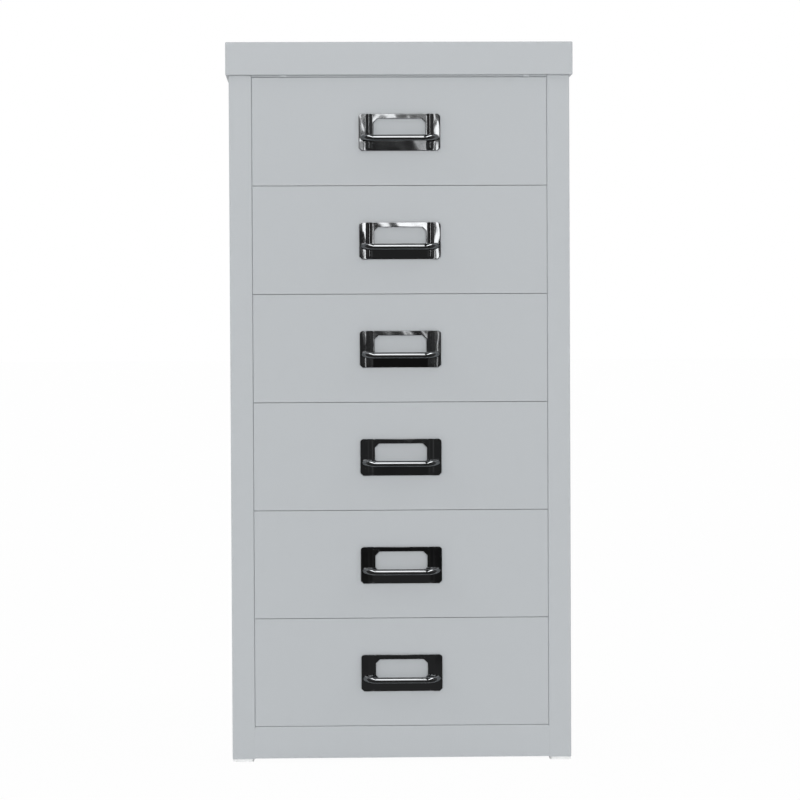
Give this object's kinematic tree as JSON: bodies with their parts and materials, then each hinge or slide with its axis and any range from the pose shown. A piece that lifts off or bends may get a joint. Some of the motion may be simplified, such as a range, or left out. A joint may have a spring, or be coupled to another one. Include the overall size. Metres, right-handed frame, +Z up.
{
  "type": "small metal drawer cabinet",
  "caption": "Small folded-steel cabinet with shallow full-width drawers that slide out on runners, each with a chromed label-frame pull, for papers, tools and small parts.",
  "frame": {"origin": "on the floor, under the middle of the whole cabinet with its drawers shut, pulls and screw heads included", "axes": "+Z up, +X to the right as one faces the drawers, -Y the way the drawers face and pull out"},
  "size_m": [0.2842, 0.3986, 0.59],
  "materials": {
    "cabinet_paint": "satin light grey powder coat with a very fine texture",
    "drawer_paint": "satin light grey powder coat with a very fine texture",
    "chrome_plate": "dark polished chrome plating, nearly a mirror",
    "zinc_steel": "bright zinc-plated sheet steel",
    "fixing_steel": "plain zinc-plated fixings",
    "white_plastic": "matt white moulded plastic"
  },
  "bodies": {
    "carcass": {"side_panel_left": "cabinet_paint", "side_panel_right": "cabinet_paint", "back_panel": "cabinet_paint", "top_cap": "cabinet_paint", "top_rail": "cabinet_paint", "base_pan": "cabinet_paint", "plinth_panel": "cabinet_paint", "upright_front_left": "cabinet_paint", "upright_front_right": "cabinet_paint", "upright_rear_left": "cabinet_paint", "upright_rear_right": "cabinet_paint", "foot_front_left": "white_plastic", "foot_front_right": "white_plastic", "foot_rear_left": "white_plastic", "foot_rear_right": "white_plastic", "cap_screws": "fixing_steel", "back_rivets": "fixing_steel", "runner_left_1": "zinc_steel", "runner_left_2": "zinc_steel", "runner_left_3": "zinc_steel", "runner_left_4": "zinc_steel", "runner_left_5": "zinc_steel", "runner_left_6": "zinc_steel", "runner_right_1": "zinc_steel", "runner_right_2": "zinc_steel", "runner_right_3": "zinc_steel", "runner_right_4": "zinc_steel", "runner_right_5": "zinc_steel", "runner_right_6": "zinc_steel"},
    "drawer_1": {"drawer_front_1": "drawer_paint", "drawer_tray_1": "drawer_paint", "handle_plate_1": "chrome_plate", "pull_hoop_1": "chrome_plate", "hoop_clips_1": "fixing_steel"},
    "drawer_2": {"drawer_front_2": "drawer_paint", "drawer_tray_2": "drawer_paint", "handle_plate_2": "chrome_plate", "pull_hoop_2": "chrome_plate", "hoop_clips_2": "fixing_steel"},
    "drawer_3": {"drawer_front_3": "drawer_paint", "drawer_tray_3": "drawer_paint", "handle_plate_3": "chrome_plate", "pull_hoop_3": "chrome_plate", "hoop_clips_3": "fixing_steel"},
    "drawer_4": {"drawer_front_4": "drawer_paint", "drawer_tray_4": "drawer_paint", "handle_plate_4": "chrome_plate", "pull_hoop_4": "chrome_plate", "hoop_clips_4": "fixing_steel"},
    "drawer_5": {"drawer_front_5": "drawer_paint", "drawer_tray_5": "drawer_paint", "handle_plate_5": "chrome_plate", "pull_hoop_5": "chrome_plate", "hoop_clips_5": "fixing_steel"},
    "drawer_6": {"drawer_front_6": "drawer_paint", "drawer_tray_6": "drawer_paint", "handle_plate_6": "chrome_plate", "pull_hoop_6": "chrome_plate", "hoop_clips_6": "fixing_steel"}
  },
  "joints": [
    {"name": "drawer_1_slide", "type": "slide", "parent": "carcass", "child": "drawer_1", "axis": [0, -1, 0], "range_m": [0, 0.3]},
    {"name": "drawer_2_slide", "type": "slide", "parent": "carcass", "child": "drawer_2", "axis": [0, -1, 0], "range_m": [0, 0.3]},
    {"name": "drawer_3_slide", "type": "slide", "parent": "carcass", "child": "drawer_3", "axis": [0, -1, 0], "range_m": [0, 0.3]},
    {"name": "drawer_4_slide", "type": "slide", "parent": "carcass", "child": "drawer_4", "axis": [0, -1, 0], "range_m": [0, 0.3]},
    {"name": "drawer_5_slide", "type": "slide", "parent": "carcass", "child": "drawer_5", "axis": [0, -1, 0], "range_m": [0, 0.3]},
    {"name": "drawer_6_slide", "type": "slide", "parent": "carcass", "child": "drawer_6", "axis": [0, -1, 0], "range_m": [0, 0.3]}
  ]
}
